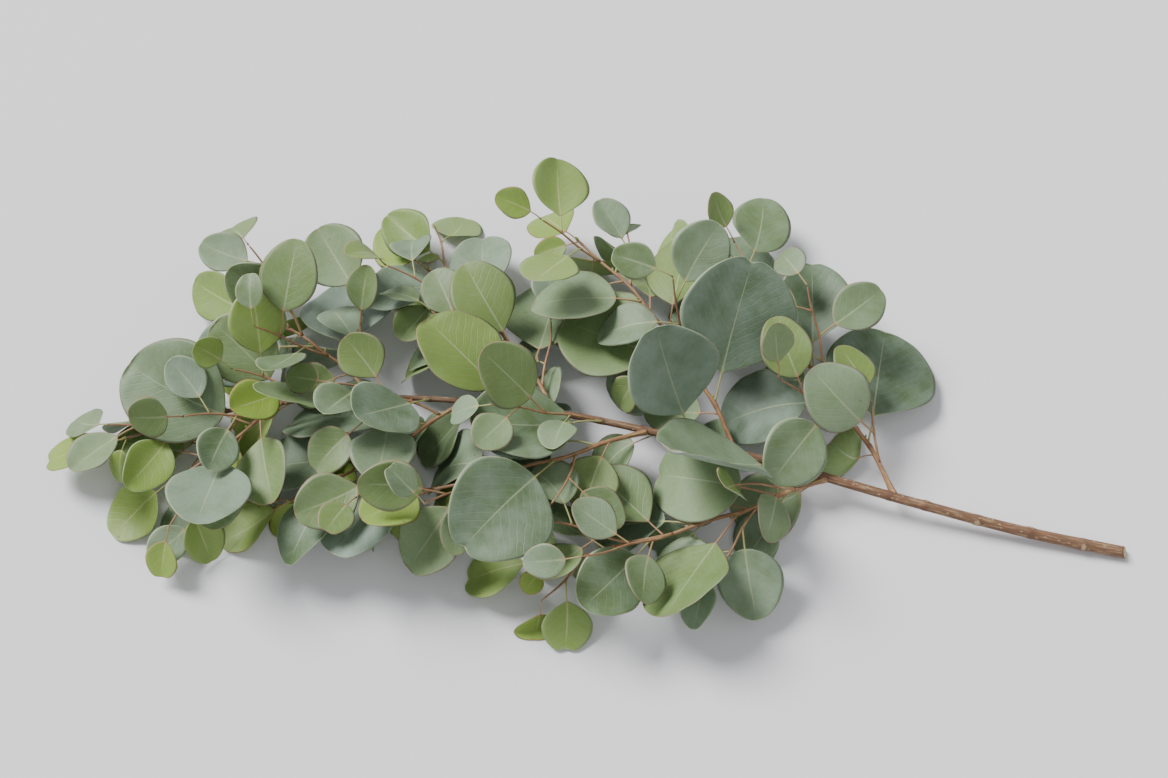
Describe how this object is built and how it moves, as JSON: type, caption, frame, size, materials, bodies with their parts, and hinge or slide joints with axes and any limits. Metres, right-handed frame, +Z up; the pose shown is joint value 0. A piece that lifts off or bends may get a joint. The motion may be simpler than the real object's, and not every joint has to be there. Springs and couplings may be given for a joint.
{
  "type": "eucalyptus branch",
  "caption": "Cut branch of silver dollar eucalyptus lying on a surface: a bare woody stem with forked side shoots and round, grey-green leaves on thin stalks.",
  "frame": {"origin": "on the surface the branch lies on, under the middle of its bounding box", "axes": "+X from the growing tip towards the cut end, +Z up from the surface"},
  "size_m": [0.6284, 0.2732, 0.0867],
  "materials": {
    "stem_bark": "smooth thin bark, tan to reddish brown, matt",
    "shoot_bark": "young bark, tan to pinkish brown, slightly waxy",
    "leaf": "leathery leaf with a blue-grey waxy bloom, satin",
    "young_leaf": "softer yellow-green leaf with little bloom, satin"
  },
  "bodies": {
    "root": {"stem": "stem_bark", "shoot_1": "shoot_bark", "shoot_2": "shoot_bark", "shoot_3": "shoot_bark", "shoot_4": "shoot_bark", "shoot_5": "shoot_bark", "shoot_6": "shoot_bark", "shoot_7": "shoot_bark", "shoot_8": "shoot_bark", "leaf_stem_1": "leaf", "leaf_stem_2": "leaf", "leaf_stem_3": "leaf", "leaf_stem_4": "leaf", "leaf_stem_5": "leaf", "leaf_stem_6": "leaf", "leaf_stem_7": "leaf", "leaf_stem_8": "young_leaf", "leaf_stem_9": "young_leaf", "leaf_stem_10": "young_leaf", "leaf_1_1": "leaf", "leaf_1_2": "leaf", "leaf_1_3": "leaf", "leaf_1_4": "leaf", "leaf_1_5": "leaf", "leaf_1_6": "young_leaf", "leaf_2_1": "leaf", "leaf_2_2": "leaf", "leaf_2_3": "leaf", "leaf_2_4": "leaf", "leaf_2_5": "leaf", "leaf_2_6": "young_leaf", "leaf_3_1": "leaf", "leaf_3_2": "leaf", "leaf_3_3": "leaf", "leaf_3_4": "leaf", "leaf_3_5": "leaf", "leaf_3_6": "young_leaf", "leaf_4_1": "leaf", "leaf_4_2": "leaf", "leaf_4_3": "leaf", "leaf_4_4": "leaf", "leaf_4_5": "young_leaf", "leaf_5_1": "leaf", "leaf_5_2": "leaf", "leaf_5_3": "leaf", "leaf_5_4": "leaf", "leaf_5_5": "young_leaf", "leaf_6_1": "leaf", "leaf_6_2": "leaf", "leaf_6_3": "leaf", "leaf_6_4": "leaf", "leaf_6_5": "young_leaf", "leaf_7_1": "leaf", "leaf_7_2": "leaf", "leaf_7_3": "leaf", "leaf_7_4": "young_leaf", "leaf_8_1": "leaf", "leaf_8_2": "leaf", "leaf_8_3": "leaf", "leaf_8_4": "young_leaf"}
  },
  "joints": []
}
